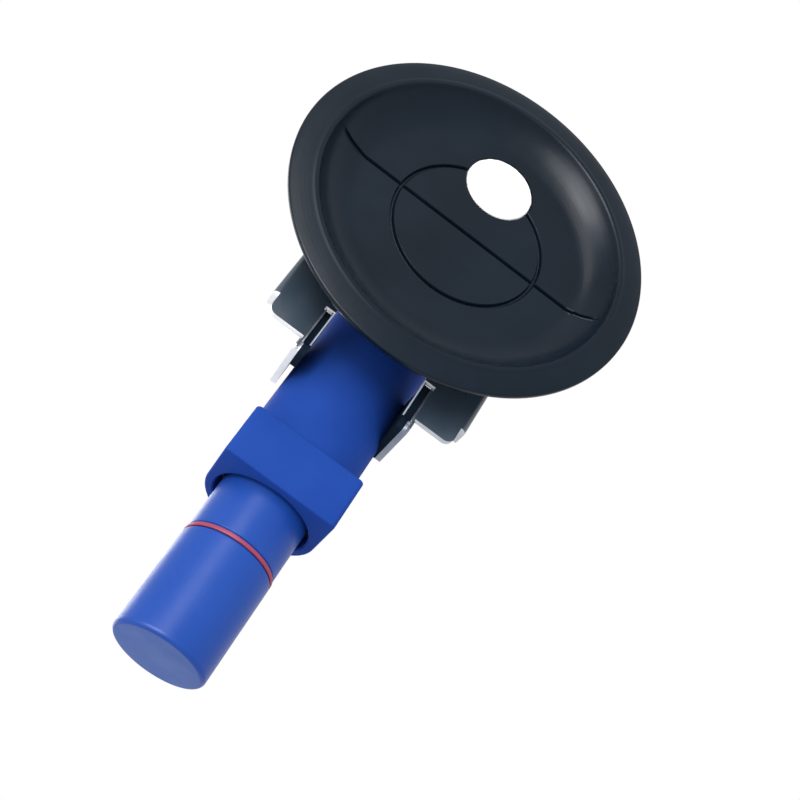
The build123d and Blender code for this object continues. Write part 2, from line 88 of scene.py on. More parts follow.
bore_radius = span("piston_seal", 1)[1] + 0.05 * MM


# Mesh building

def add_object(name, mesh, body):
    """A new object with this mesh, riding on a body."""
    thing = bpy.data.objects.new(name, mesh)
    bpy.context.scene.collection.objects.link(thing)
    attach(thing, body)
    return thing


def smooth(mesh, angle):
    """Smooth shading, with edges sharper than the angle kept sharp."""
    for polygon in mesh.polygons:
        polygon.use_smooth = True
    mesh.set_sharp_from_angle(angle=radians(angle))


def rounded(points, radius, steps=5):
    """A closed outline of (a, b) points, each corner turned into an arc. A third number is a corner's own radius."""
    straight = radians(172)     # a corner opener than this is left as it is
    most = 0.48                 # the share of an edge that one arc may take
    result = []
    count = len(points)
    for i, corner in enumerate(points):
        here = Vector(corner[:2])
        before = Vector(points[i - 1][:2])
        after = Vector(points[(i + 1) % count][:2])
        reach = corner[2] if len(corner) > 2 else radius
        into, away = (before - here), (after - here)
        opening = into.angle(away, pi)
        if reach <= 0 or opening > straight or min(into.length, away.length) < 1e-7:
            result.append(here)
            continue
        cut = min(reach / tan(opening / 2), most * into.length, most * away.length)
        radius_here = cut * tan(opening / 2)
        middle = here + (into.normalized() + away.normalized()).normalized() * (radius_here / sin(opening / 2))
        start = here + into.normalized() * cut - middle
        end = here + away.normalized() * cut - middle
        turn = atan2(start.x * end.y - start.y * end.x, start.dot(end))
        for k in range(steps + 1):
            part = turn * k / steps
            result.append(middle + Vector((start.x * cos(part) - start.y * sin(part),
                                           start.x * sin(part) + start.y * cos(part))))
    return result


def bridge(mesh, rings, close_path):
    """Quads between rings of vertices that all have the same count."""
    last = len(rings) if close_path else len(rings) - 1
    for i in range(last):
        first, second = rings[i], rings[(i + 1) % len(rings)]
        for k in range(len(first)):
            following = (k + 1) % len(first)
            corners = (first[k], first[following], second[following], second[k])
            if len(set(corners)) > 2:
                mesh.faces.new(corners)


def finish_mesh(work, name, angle=32):
    """Merges doubled points, turns the faces outward and gives a smooth-shaded mesh."""
    bmesh.ops.remove_doubles(work, verts=work.verts, dist=1e-7)
    bmesh.ops.dissolve_degenerate(work, edges=work.edges, dist=1e-8)
    bmesh.ops.recalc_face_normals(work, faces=work.faces)
    mesh = bpy.data.meshes.new(name)
    work.to_mesh(mesh)
    work.free()
    smooth(mesh, angle)
    return mesh


def lathe(name, outline, body):
    """A closed outline of (along, radius) points turned about the pump axis."""
    near = 0.4 * MM             # long faces get a narrow strip beside each edge, which keeps the shading even
    turns = [2 * pi * k / SEGMENTS for k in range(SEGMENTS)]
    work = bmesh.new()
    rings = []
    points = [Vector(point[:2]) for point in outline]
    for i, point in enumerate(points):
        stretch = points[(i + 1) % len(points)] - point
        places = [point]
        if stretch.length > 4 * near and max(point.y, (point + stretch).y) > near:
            ease = stretch.normalized() * near
            places += [point + ease, point + stretch - ease]
        for along, radius in places:
            rings.append([work.verts.new((along, radius * sin(turn), axis_height + radius * cos(turn)))
                          for turn in turns])
    bridge(work, rings, True)
    return add_object(name, finish_mesh(work, name), body)


def tool(outline, start, end, axis):
    """A closed outline pushed out along an axis. Its (a, b) are (Y, Z) for X, (X, Z) for Y and (X, Y) for Z."""
    work = bmesh.new()
    rings = []
    order = {"X": (0, 1, 2), "Y": (1, 0, 2), "Z": (1, 2, 0)}[axis]
    for along in (start, end):
        places = [tuple((along, a, b)[place] for place in order) for a, b in outline]
        rings.append([work.verts.new(place) for place in places])
    bridge(work, rings, False)
    for ring in rings:
        work.faces.new(ring)
    bmesh.ops.recalc_face_normals(work, faces=work.faces)
    mesh = bpy.data.meshes.new("tool")
    work.to_mesh(mesh)
    work.free()
    thing = bpy.data.objects.new("tool", mesh)
    bpy.context.scene.collection.objects.link(thing)
    return thing


def circle(radius, middle=(0.0, 0.0), segments=64):
    """Points round a circle."""
    turns = [2 * pi * k / segments for k in range(segments)]
    return [(middle[0] + radius * cos(turn), middle[1] + radius * sin(turn)) for turn in turns]


def carve(thing, steps, angle):
    """Joins tools to a piece ('UNION') or cuts them from it ('DIFFERENCE'), in order, and smooths it again."""
    for operation, other in steps:
        change = thing.modifiers.new(operation.lower(), "BOOLEAN")
        change.operation = operation
        change.solver = "EXACT"
        change.object = other
    bpy.context.view_layer.update()
    final = bpy.data.meshes.new_from_object(thing.evaluated_get(bpy.context.evaluated_depsgraph_get()))
    thing.modifiers.clear()
    thing.data = final
    smooth(final, angle)
    for operation, other in steps:
        bpy.data.objects.remove(other)


def soften(thing, width):
    """Rounds a piece's sharp edges a little."""
    edge = thing.modifiers.new("edge", "BEVEL")
    edge.width = width
    edge.segments = 3
    edge.limit_method = "ANGLE"
    edge.angle_limit = radians(35)
    edge.harden_normals = True


def dressed(name, node, body, bevel):
    """A copy of a CAD node's shape, with softened edges where bevel isn't 0."""
    work = bmesh.new()
    work.from_mesh(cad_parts[node].data)
    bmesh.ops.remove_doubles(work, verts=work.verts, dist=1e-6)
    bmesh.ops.dissolve_limit(work, angle_limit=radians(0.6), verts=work.verts, edges=work.edges)
    mesh = bpy.data.meshes.new(name)
    work.to_mesh(mesh)
    work.free()
    smooth(mesh, 28)
    thing = add_object(name, mesh, body)
    if bevel:
        soften(thing, bevel)
    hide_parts(node)
    return thing


# Materials: colours are written as they look in sRGB, 0 to 255

def linear(red, green, blue):
    """Linear colour from sRGB numbers."""
    def one(value):
        part = value / 255
        return part / 12.92 if part <= 0.04045 else ((part + 0.055) / 1.055) ** 2.4
    return (one(red), one(green), one(blue), 1.0)


class Paint:
    """A node material built up step by step."""

    def __init__(self, name, roughness, metallic=0.0, specular=0.5):
        self.material = bpy.data.materials.new(name)
        self.material.use_nodes = True
        self.tree = self.material.node_tree
        self.shader = self.tree.nodes["Principled BSDF"]
        self.shader.inputs["Roughness"].default_value = roughness
        self.shader.inputs["Metallic"].default_value = metallic
        self.shader.inputs["Specular IOR Level"].default_value = specular
        self.where = self.tree.nodes.new("ShaderNodeTexCoord").outputs["Object"]
        self.height = None

    def link(self, source, target):
        self.tree.links.new(source, target)

    def noise(self, scale, detail=4.0, rough=0.55):
        """Noise over the object, with scale in features per metre."""
        node = self.tree.nodes.new("ShaderNodeTexNoise")
        node.inputs["Scale"].default_value = scale
        node.inputs["Detail"].default_value = detail
        node.inputs["Roughness"].default_value = rough
        self.link(self.where, node.inputs["Vector"])
        return node.outputs["Fac"]

    def colours(self, factor, stops):
        """Sets the base colour from a ramp of (position, colour) stops."""
        ramp = self.tree.nodes.new("ShaderNodeValToRGB")
        while len(ramp.color_ramp.elements) < len(stops):
            ramp.color_ramp.elements.new(0.5)
        for element, (position, colour) in zip(ramp.color_ramp.elements, stops):
            element.position = position
            element.color = colour
        self.link(factor, ramp.inputs["Fac"])
        self.link(ramp.outputs["Color"], self.shader.inputs["Base Color"])

    def gloss(self, factor, low, high):
        """Lets the roughness run from low to high as a factor runs from 0.3 to 0.7."""
        node = self.tree.nodes.new("ShaderNodeMapRange")
        node.inputs["From Min"].default_value = 0.3
        node.inputs["From Max"].default_value = 0.7
        node.inputs["To Min"].default_value = low
        node.inputs["To Max"].default_value = high
        self.link(factor, node.inputs["Value"])
        self.link(node.outputs["Result"], self.shader.inputs["Roughness"])

    def bump(self, height, depth, strength):
        """Adds a relief whose full height is depth, in metres, over those that are there."""
        node = self.tree.nodes.new("ShaderNodeBump")
        node.inputs["Strength"].default_value = strength
        node.inputs["Distance"].default_value = depth
        self.link(height, node.inputs["Height"])
        if self.height:
            self.link(self.height, node.inputs["Normal"])
        self.height = node.outputs["Normal"]
        self.link(self.height, self.shader.inputs["Normal"])

    def rings(self, spacing):
        """Fine turned rings about the Z axis, one every spacing metres."""
        node = self.tree.nodes.new("ShaderNodeTexWave")
        node.wave_type = "RINGS"
        node.rings_direction = "Z"
        node.inputs["Scale"].default_value = 2 * pi / (20 * spacing)    # the node makes 20 / (2 pi) rings a unit
        node.inputs["Distortion"].default_value = 0.6
        node.inputs["Detail"].default_value = 2.0
        self.link(self.where, node.inputs["Vector"])
        return node.outputs["Fac"]


def plastic(name, dark, light, roughness, specular=0.5):
    """Moulded plastic: slight mottling, uneven gloss and a fine grain."""
    paint = Paint(name, roughness, 0.0, specular)
    paint.colours(paint.noise(55), [(0.3, linear(*dark)), (0.7, linear(*light))])
    paint.gloss(paint.noise(160, 3.0), roughness - 0.05, roughness + 0.07)
    paint.bump(paint.noise(1800, 2.0), 0.03 * MM, 0.5)
    paint.bump(paint.noise(90, 2.0), 0.1 * MM, 0.25)
    return paint.material


def pad_rubber():
    """Moulded black rubber with faint turned rings and a patchy bloom."""
    paint = Paint("pad_rubber", 0.32, 0.0, 0.15)
    bloom = [(0.25, linear(3, 16, 26)), (0.5, linear(5, 19, 31)), (0.75, linear(9, 24, 36))]
    paint.colours(paint.noise(38, 6.0, 0.6), bloom)
    paint.gloss(paint.noise(70, 5.0), 0.27, 0.38)
    paint.bump(paint.rings(0.8 * MM), 0.01 * MM, 0.35)
    paint.bump(paint.noise(900, 3.0), 0.03 * MM, 0.4)
    paint.bump(paint.noise(60, 3.0), 0.4 * MM, 0.25)
    return paint.material


def felt_cloth():
    """White needled felt: fine tangled fibres with small hollows."""
    paint = Paint("felt_cloth", 0.95, 0.0, 0.1)
    fibres = [(0.3, linear(240, 241, 240)), (0.55, linear(251, 251, 250)), (0.8, linear(255, 255, 255))]
    paint.colours(paint.noise(900, 8.0, 0.7), fibres)
    paint.shader.inputs["Sheen Weight"].default_value = 0.3
    paint.bump(paint.noise(2600, 8.0, 0.8), 0.2 * MM, 0.6)
    paint.bump(paint.noise(420, 4.0), 0.3 * MM, 0.4)
    return paint.material


def coated_sheet():
    """Black coated sheet steel, slightly blue, with soft mottling."""
    paint = Paint("coated_sheet", 0.33, 0.0, 0.8)
    paint.colours(paint.noise(70, 5.0), [(0.3, linear(42, 56, 70)), (0.7, linear(52, 67, 82))])
    paint.gloss(paint.noise(150, 4.0), 0.27, 0.42)
    paint.bump(paint.noise(700, 3.0), 0.04 * MM, 0.35)
    return paint.material


def metal(name, dark, light, roughness, metallic=1.0):
    """Bare metal with slight mottling and a fine grain."""
    paint = Paint(name, roughness, metallic)
    paint.colours(paint.noise(120, 4.0, 0.6), [(0.3, linear(*dark)), (0.7, linear(*light))])
    paint.gloss(paint.noise(500, 3.0, 0.6), roughness - 0.06, roughness + 0.1)
    paint.bump(paint.noise(1500, 2.0, 0.6), 0.02 * MM, 0.5)
    return paint.material


blue_body = plastic("blue_body", (26, 60, 140), (32, 68, 150), 0.6, 0.03)
blue_plunger = plastic("blue_plunger", (22, 64, 148), (28, 71, 156), 0.36, 0.19)
# A lighter, greyer copy of the plunger's blue for the flat push face: painted reflection of the white surround.
blue_face_painted_reflection = plastic("blue_face_painted_reflection", (46, 82, 154), (54, 90, 164), 0.5, 0.3)
red_band = plastic("red_band", (138, 52, 78), (154, 62, 88), 0.45, 0.25)
white_nylon = plastic("white_nylon", (222, 222, 216), (234, 234, 229), 0.45)
black_nylon = plastic("black_nylon", (24, 25, 27), (32, 33, 35), 0.45)
seal_rubber = plastic("seal_rubber", (22, 22, 23), (31, 31, 33), 0.6, 0.3)
rubber = pad_rubber()
felt = felt_cloth()
sheet_black = coated_sheet()
# One bare steel for the bracket's cut edges, in lit, half lit and shaded copies: painted light, not three metals.
steel_edge_painted_lit = metal("steel_edge_painted_lit", (236, 238, 241), (250, 251, 253), 0.38, 0.4)
steel_edge_painted_half_lit = metal("steel_edge_painted_half_lit", (176, 181, 189), (202, 206, 212), 0.38)
steel_edge_painted_shaded = metal("steel_edge_painted_shaded", (124, 132, 146), (148, 155, 167), 0.42)
# Dark paint that stands in for the shade on the tabs' inner sides and under the lips: painted shade.
sheet_painted_shade = plastic("sheet_painted_shade", (12, 23, 38), (20, 32, 48), 0.8, 0.03)
zinc = metal("zinc_steel", (168, 170, 172), (198, 200, 203), 0.3)
brass = metal("turned_brass", (186, 150, 84), (208, 174, 104), 0.28)
plate_metal = metal("cast_plate", (150, 152, 156), (176, 178, 182), 0.38)
wire = metal("spring_wire", (128, 130, 136), (160, 162, 168), 0.32)


def paint_on(thing, *materials):
    """Gives a piece its materials, in slot order."""
    for material in materials:
        thing.data.materials.append(material)


# The rubber pad: a grid of rings whose lines follow the cross groove, so that the groove has crisp edges

groove_half = 0.45 * MM
groove_depth = 0.8 * MM
groove_flat = 0.45              # these four are shares of the groove's half width, from its middle outward
groove_edge = 1.05
bead_middle = 1.45
bead_half = 0.42
ring_groove_flat = 0.35
band_half = 1.4 * MM            # half the width of the strip of mesh that follows the cross groove
bead_height = 0.25 * MM
groove_reach = 31.0 * MM
ring_groove = 16.0 * MM
floor_radius = 23.8 * MM
cavity = 5.0 * MM
crest_in = 31.9 * MM
crest_out = 32.7 * MM
rim_back = 0.7 * MM
rim_thickness = 0.9 * MM
rim_rounding = 0.4 * MM
crest_step = 0.1 * MM
rim_foot = (crest_out + 0.5 * MM, 0.12 * MM)    # radius and height where the rim leaves the sealing plane
rim_slope = (pad_radius - 2.0 * MM, 0.3 * MM, 4 * MM)
wall_arc = ((crest_in - floor_radius) ** 2 + cavity ** 2) / (2 * cavity)
shoulder = (35.7 * MM, 4.4 * MM, 3 * MM)        # radius, height and rounding where the rim's back turns upward
neck_radius = 33.0 * MM
neck_drop = 1.1 * MM            # how far the neck lies below the backing plate
plate_gap = 0.1 * MM
plate_border = 1.7 * MM         # rubber round the backing plate's edge
felt_gap = 0.1 * MM
floor_shift = -0.7 * MM         # the floor's grooves and felt sit a little off the rim's centre
felt_x = port_x - 0.6 * MM
felt_y = floor_shift


def blend_step(value, low, high):
    """0 below low, 1 above high, and smooth between."""
    part = min(max((value - low) / (high - low), 0.0), 1.0)
    return part * part * (3 - 2 * part)


def groove_shape(across):
    """0 outside the cross groove and 1 at its bottom."""
    return 1.0 - blend_step(abs(across), groove_flat * groove_half, groove_edge * groove_half)


def bead_shape(across):
    """The soft raised bead beside the cross groove, 0 to 1."""
    offset = (abs(across) - bead_middle * groove_half) / (bead_half * groove_half)
    return max(0.0, 1.0 - offset * offset)


def front_height(radius):
    """Height of the pad's sealing side at a radius, without the cross groove."""
    if radius <= floor_radius:
        sides = (ring_groove_flat * groove_half, groove_edge * groove_half)
        return cavity + groove_depth * (1.0 - blend_step(abs(radius - ring_groove), *sides))
    out = radius - floor_radius
    return cavity - wall_arc + sqrt(wall_arc * wall_arc - out * out)


def pad_front_radii():
    """Radii of the rings, closer together at the ring groove and up the wall."""
    near = 1.0 * MM
    radii = [band_half + (ring_groove - near - band_half) * k / 14 for k in range(14)]
    radii += [ring_groove - near + 2 * near * k / 20 for k in range(21)]
    start = ring_groove + near
    radii += [start + (floor_radius - start) * k / 10 for k in range(1, 10)]
    radii += [floor_radius + (crest_in - floor_radius) * k / 36 for k in range(36)]
    return radii


def pad_sample(radius, index, across, sides):
    """Point number index of a ring: the cross groove's two bands, joined by two side arcs."""
    half_angle = asin(min(band_half / radius, 1.0))
    band = len(across)
    if index < band:
        x = across[index]
        return x, sqrt(max(radius * radius - x * x, 0.0))
    index -= band
    if index < sides:
        angle = pi / 2 - half_angle - (pi - 2 * half_angle) * (index + 1) / (sides + 1)
        return radius * cos(angle), radius * sin(angle)
    index -= sides
    if index < band:
        x = -across[index]
        return x, -sqrt(max(radius * radius - x * x, 0.0))
    index -= band
    angle = -pi / 2 - half_angle - (pi - 2 * half_angle) * (index + 1) / (sides + 1)
    return radius * cos(angle), radius * sin(angle)


def groove_cut(radius, across, height):
    """How far the cross groove and its beads move the pad's skin at a place near the groove."""
    wall = blend_step(radius, floor_radius, floor_radius + 3 * MM)      # 0 on the floor, 1 up the wall
    fade = 1.0 - blend_step(radius, groove_reach - 1.5 * MM, groove_reach)
    narrow = 1.0 - 0.35 * wall                                          # the groove is narrower on the wall
    cut = groove_shape(across / narrow) * groove_depth * fade
    already = max(height - cavity, 0.0) if radius < floor_radius else 0.0       # the ring groove's own depth
    return max(cut - already, 0.0) - bead_shape(across / narrow) * bead_height * wall * fade


def pad_edge_path():
    """Points (radius, height) from the crest round the rim and over the back to the middle."""
    rim_high = rim_back + rim_thickness
    inside = crest_in - crest_step
    return [(point.x, point.y) for point in rounded([
        (inside, front_height(inside), 0), (crest_in + crest_step, 0.0), (crest_out, 0.0), rim_foot, rim_slope,
        (pad_radius, rim_back, rim_rounding), (pad_radius, rim_high, rim_rounding), shoulder,
        (neck_radius, plate_low - neck_drop, 1.5 * MM), (plate_radius + plate_border, pad_top, 0.5 * MM),
        (plate_radius + plate_gap, pad_top, 0.3 * MM), (plate_radius + plate_gap, plate_low, 0),
        (band_half, plate_low, 0)], 0.25 * MM)]


def build_pad():
    """The pad's front, rim, back and neck as one closed skin."""
    across = [band_half * (k / 14 - 1.0) for k in range(29)]
    band = len(across)
    sides = 118                 # points on each side arc between the cross groove's two bands
    count = 2 * (band + sides)
    work = bmesh.new()
    rings = []
    for radius in pad_front_radii():
        ring = []
        shift = floor_shift * (1.0 - blend_step(radius, floor_radius - 3 * MM, crest_in))
        for index in range(count):
            x, y = pad_sample(radius, index, across, sides)
            z = front_height(radius)
            if index < band or band + sides <= index < 2 * band + sides:
                z += groove_cut(radius, x, z)
            ring.append(work.verts.new((x, y + shift, z)))
        rings.append(ring)
    for radius, height in pad_edge_path():
        places = [pad_sample(radius, index, across, sides) for index in range(count)]
        rings.append([work.verts.new((x, y, height)) for x, y in places])
    bridge(work, rings, False)
    for ring in (rings[0], rings[-1]):      # the middle, closed between the two bands
        near = ring[:band]
        far = list(reversed(ring[band + sides:2 * band + sides]))
        for k in range(band - 1):
            work.faces.new((near[k], near[k + 1], far[k + 1], far[k]))
    return add_object("pad_skin", finish_mesh(work, "pad_skin", 40), "base")


pad = build_pad()
recess = tool(circle(felt_radius + felt_gap, (felt_x, felt_y), 96), felt_low - 2 * OVERSHOOT, felt_high, "Z")
carve(pad, [("DIFFERENCE", recess)], 40)
paint_on(pad, rubber)
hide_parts("rubber_pad")


# The felt: a soft disc with a fuzzy edge

def build_felt():
    """A domed disc whose edge wanders a little, as cut felt does."""
    segments = 160
    dome = [(0.25, 0.0), (0.5, 0.0), (0.7, 0.01), (0.84, 0.05), (0.92, 0.14), (0.97, 0.3), (0.995, 0.6),
            (1.0, 1.0)]         # share of the radius, and share of the drop towards the edge
    edge_drop = 0.55 * (felt_high - felt_low)
    wander = 0.012              # the edge's unevenness as a share of the radius
    unevenness = 0.05 * MM
    edge_waves, face_waves = 9.0, 14.0          # how fine each unevenness is
    face = felt_low + 0.06 * MM
    work = bmesh.new()
    rings = []
    for share, drop in dome:
        ring = []
        for k in range(segments):
            turn = 2 * pi * k / segments
            edge_place = Vector((cos(turn), sin(turn), share)) * edge_waves
            face_place = Vector((cos(turn) * share, sin(turn) * share, 0.3)) * face_waves
            radius = felt_radius * share * (1.0 - wander + wander * noise.noise(edge_place) * share)
            lift = unevenness * noise.noise(face_place)
            ring.append(work.verts.new((felt_x + radius * cos(turn), felt_y + radius * sin(turn),
                                        face + drop * edge_drop + lift * (1 - drop))))
        rings.append(ring)
    base_ring = [work.verts.new((vertex.co.x, vertex.co.y, felt_high)) for vertex in rings[-1]]
    rings.append(base_ring)
    bridge(work, rings, False)
    centre = work.verts.new((felt_x, felt_y, face))
    back = work.verts.new((felt_x, felt_y, felt_high))
    for k in range(segments):
        work.faces.new((centre, rings[0][(k + 1) % segments], rings[0][k]))
        work.faces.new((back, base_ring[k], base_ring[(k + 1) % segments]))
    return add_object("felt_disc", finish_mesh(work, "felt_disc", 60), "base")


felt_disc = build_felt()
paint_on(felt_disc, felt)
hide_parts("filter_felt")


# The bracket, with bare steel on its cut edges, painted brighter on the +Y side as in the photo: lit and shaded
# copies of one steel, which is painted light; the tabs' inner sides and the lip undersides carry painted shade

sheet = 1.2 * MM
wall_inner = 11.85 * MM         # each tab's wall starts here, with a dark sheet on its inner side that stands in for the shade between tab and barrel: painted shade
shade_sheet_inner = 10.5 * MM
lip_inner = {1: 10.55 * MM, -1: 10.25 * MM}     # the lip under each tab, its underside painted dark as shade, between two sheared steel edges that show as light lines, painted lighter on the +Y side
shear_width = 0.3 * MM
plate_inner = 12.4 * MM
relief_rear = 29.8 * MM         # the slot behind each tab
relief_front = 30.4 * MM
slot_margin = 0.5 * MM          # the lip runs on beside the slot's inner end
lip_front = 38.9 * MM
wall_top = 27.3 * MM
wall_rear = relief_front + 0.1 * MM
shade_sheet_top = {1: 18.5 * MM, -1: wall_top}         # the photo shows less of the dark inner sheet, which stands in for shade, on the +Y side
plate_front = 27.5 * MM         # the plate ends here between the lips
bracket_face = bracket_low + sheet
lip_middle_low = bracket_low + 0.5 * MM         # undersides of the lip, of its two sheared edges and of the wall
inner_shear_low = bracket_low + 0.3 * MM
outer_shear_low = bracket_low + 0.1 * MM
wall_low = bracket_low + 0.85 * MM
tab_rounding = 1.8 * MM
toe_rounding = 1.0 * MM
rear_wall_half = 9.0 * MM


def strip(side, inner, outer, low):
    """A straight strip of the bracket's lip, from the relief slot's rear end to the lip's front."""
    section = [(side * outer, low), (side * inner, low), (side * inner, bracket_face), (side * outer, bracket_face)]
    return tool(section, relief_rear - 0.2 * MM, lip_front, "X")


def wall_outline(top):
    """The side view of a tab's wall, up to a height."""
    return rounded([(wall_rear, wall_low, 0), (bracket_tab_front, wall_low, toe_rounding),
                    (bracket_tab_front, top, tab_rounding), (wall_rear, top, tab_rounding)], 0)


def build_bracket():
    """The CAD bracket with its tabs cut off and made again with a lip under each wall, as in the photo."""
    thing = dressed("bracket_shell", "saddle_bracket", "base", 0)
    low = bracket_low - OVERSHOOT
    high = bracket_high + OVERSHOOT
    above_plate = bracket_face + OVERSHOOT
    front = bracket_tab_front + OVERSHOOT
    cutter = [(relief_rear, low), (front, low), (front, high), (relief_rear, high)]
    between_lips = [(plate_front, low), (relief_rear + OVERSHOOT, low), (relief_rear + OVERSHOOT, above_plate),
                    (plate_front, above_plate)]
    steps = [("DIFFERENCE", tool(cutter, -plate_inner, plate_inner, "Y")),
             ("DIFFERENCE", tool(between_lips, -lip_inner[-1], lip_inner[1], "Y"))]
    for side in (1, -1):
        inner = lip_inner[side]
        slot_start = inner + slot_margin
        slot = [(relief_rear, side * slot_start), (relief_front, side * slot_start),
                (relief_front, side * plate_inner), (relief_rear, side * plate_inner)]
        steps += [("UNION", strip(side, inner, plate_inner, lip_middle_low)),
                  ("UNION", strip(side, inner, inner + shear_width, inner_shear_low)),
                  ("UNION", strip(side, plate_inner - shear_width, plate_inner, outer_shear_low)),
                  ("UNION", tool(wall_outline(wall_top), side * wall_inner, side * (wall_inner + sheet), "Y")),
                  # This dark sheet inside each wall stands in for the shade between tab and barrel: painted shade.
                  ("UNION", tool(wall_outline(shade_sheet_top[side]), side * shade_sheet_inner, side * wall_inner, "Y")),
                  ("DIFFERENCE", tool(slot, low, above_plate, "Z"))]
    carve(thing, steps, 28)
    return thing


def bracket_finish(face):
    """0 on a coated skin, 1 to 3 on cut edges, one bare steel painted from lit to shaded, and 4 on the tabs' inner
    sides and the lip undersides, painted dark as shade.
    """
    # Slots 1 to 3 are one bare steel painted lit, half lit and shaded; slot 4 is painted shade.
    coated, painted_lit_slot, painted_half_lit_slot, painted_shaded_slot, painted_shade_slot = range(5)
    faces, crosses = 0.9, 0.1   # a normal's part along an axis that it faces, and along one that it is square to
    normal = face.normal
    centre = face.center
    near = 0.15 * MM
    side = abs(centre.y)
    in_plate = centre.z < bracket_low + 1.5 * sheet
    inner = lip_inner[1 if centre.y > 0 else -1]
    in_lip = centre.x > relief_rear - OVERSHOOT and side < plate_inner + near
    # A wall's front edge is painted lit on the +Y side and at the rear, and painted shaded on the -Y side.
    wall_edge = painted_lit_slot if centre.y > 0 or centre.x < 0 else painted_shaded_slot
    if centre.x > lip_front - near and side < wall_inner + sheet + near and normal.x > crosses:     # a tab's front: the inner sheet's edge painted dark as shade, the wall's edge painted lit or shaded by side
        return painted_shade_slot if side < wall_inner else wall_edge
    if in_lip and in_plate and normal.z < -faces:                                                   # under a lip: painted shade in the middle, sheared steel edges painted half lit on the +Y outer side and shaded elsewhere
        if min(side - inner, plate_inner - side) > shear_width:
            return painted_shade_slot
        return painted_half_lit_slot if centre.y > 0 and side > inner + shear_width else painted_shaded_slot
    if centre.x > relief_rear and side < wall_inner and not in_plate:                               # inside a tab: painted shade
        return painted_shade_slot
    if abs(normal.z) > faces:
        return coated if in_plate else wall_edge
    if abs(normal.y) > faces:
        flange = side > bracket_side - sheet - near and abs(side - bracket_side + 1.1 * sheet) > near / 2
        tab = centre.x > relief_rear and side < wall_inner + sheet + near
        return coated if flange or tab else wall_edge
    if centre.x > relief_front and not in_plate:
        return wall_edge
    if abs(normal.x) > faces:
        if centre.x < bracket_rear + sheet + near and side < rear_wall_half:                        # the rear wall
            return coated
        # Cut edges facing along X: painted lit on the +Y side and in the lips, half lit on the -Y side.
        return painted_lit_slot if centre.y > 0 or in_lip else painted_half_lit_slot
    if abs(normal.x) < crosses:                                                                     # bends and arcs: some painted lit as bare steel, others coated
        return painted_lit_slot if not in_plate and centre.x < 0 else coated
    if abs(normal.y) < crosses:
        return painted_lit_slot if centre.x > 0 else coated
    # Other cut edges: painted lit on the +Y side and half lit on the -Y side.
    return painted_lit_slot if centre.y > 0 else painted_half_lit_slot


bracket = build_bracket()
# The coated sheet, then one bare steel in lit, half lit and shaded copies (painted light), then dark paint for
# painted shade.
paint_on(bracket, sheet_black, steel_edge_painted_lit, steel_edge_painted_half_lit, steel_edge_painted_shaded, sheet_painted_shade)
for polygon in bracket.data.polygons:
    polygon.material_index = bracket_finish(polygon)


# The barrel: a turned tube on a flat foot

foot_half = 6.0 * MM
foot_rear = -26.0 * MM
foot_front = 25.0 * MM
spigot_radius = 5.0 * MM
chamber_radius = 3.4 * MM
chamber_top = span("intake_valve", 2)[1] + 0.9 * MM
foot_hole_radius = 1.6 * MM
foot_hole_top = span("foot_screws", 2)[1] + 0.1 * MM
foot_screw_x = (-23.0 * MM, 20.0 * MM)


def build_foot():
    """The foot and the spigot under the tube, with the intake valve's chamber and the screws' holes."""
    block = [(-foot_half, bracket_face), (foot_half, bracket_face),
             (foot_half, axis_height), (-foot_half, axis_height)]
    foot = tool(rounded(block, 0.3 * MM), foot_rear, foot_front, "X")
    foot.name = "barrel_foot"
    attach(foot, "base")
    into_wall = barrel_radius - 0.4 * MM        # the foot ends inside the tube's wall
    tube = tool(circle(into_wall, (0, axis_height), 128), foot_rear - OVERSHOOT, foot_front + OVERSHOOT, "X")
    steps = [("UNION", tool(circle(spigot_radius, (port_x, 0)), foot_low, bracket_face + OVERSHOOT, "Z")),
             ("DIFFERENCE", tube),
             ("DIFFERENCE", tool(circle(chamber_radius, (port_x, 0)), foot_low - OVERSHOOT, chamber_top, "Z"))]
    for x in foot_screw_x:
        hole = tool(circle(foot_hole_radius, (x, 0), 32), bracket_face - OVERSHOOT, foot_hole_top, "Z")
        steps.append(("DIFFERENCE", hole))
    carve(foot, steps, 30)
    return foot


tube_radius = barrel_radius + 0.35 * MM
tube_shift = -0.3 * MM          # in the photo the tube's outside sits a little to the -Y side
barrel = lathe("barrel_tube", rounded([(barrel_rear, bore_radius), (barrel_rear, tube_radius),
                                       (barrel_front, tube_radius), (barrel_front, bore_radius)], 0.12 * MM), "base")
for vertex in barrel.data.vertices:
    if (vertex.co.yz - Vector((0, axis_height))).length > barrel_radius:
        vertex.co.y += tube_shift
foot = build_foot()
for piece in (barrel, foot):
    paint_on(piece, blue_body)
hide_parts("pump_barrel")


# The collar: a flat towards the pad, a round back, and a bore that steps in to its mouth

def collar_outline(inset):
    """Points round the collar's outline, pulled in by inset, in (Y, Z) about the pump axis."""
    corner = 1.0 * MM - inset * 0.5
    low = -(collar_flat - inset)
    side = collar_side - inset
    arc_steps = 96
    turns = [pi * k / arc_steps for k in range(arc_steps + 1)]
    points = [(side * cos(turn), side * sin(turn)) for turn in turns]
    for k in range(1, 9):
        points.append((-side, (low + corner) * k / 8))
    for k in range(1, 9):
        turn = pi + pi / 2 * k / 8
        points.append((-side + corner + corner * cos(turn), low + corner + corner * sin(turn)))
    for k in range(1, 17):
        points.append((-side + corner + 2 * (side - corner) * k / 16, low))
    for k in range(1, 9):
        turn = 1.5 * pi + pi / 2 * k / 8
        points.append((side - corner + corner * cos(turn), low + corner + corner * sin(turn)))
    for k in range(1, 8):
        points.append((side, (low + corner) * (1 - k / 8)))
    return points


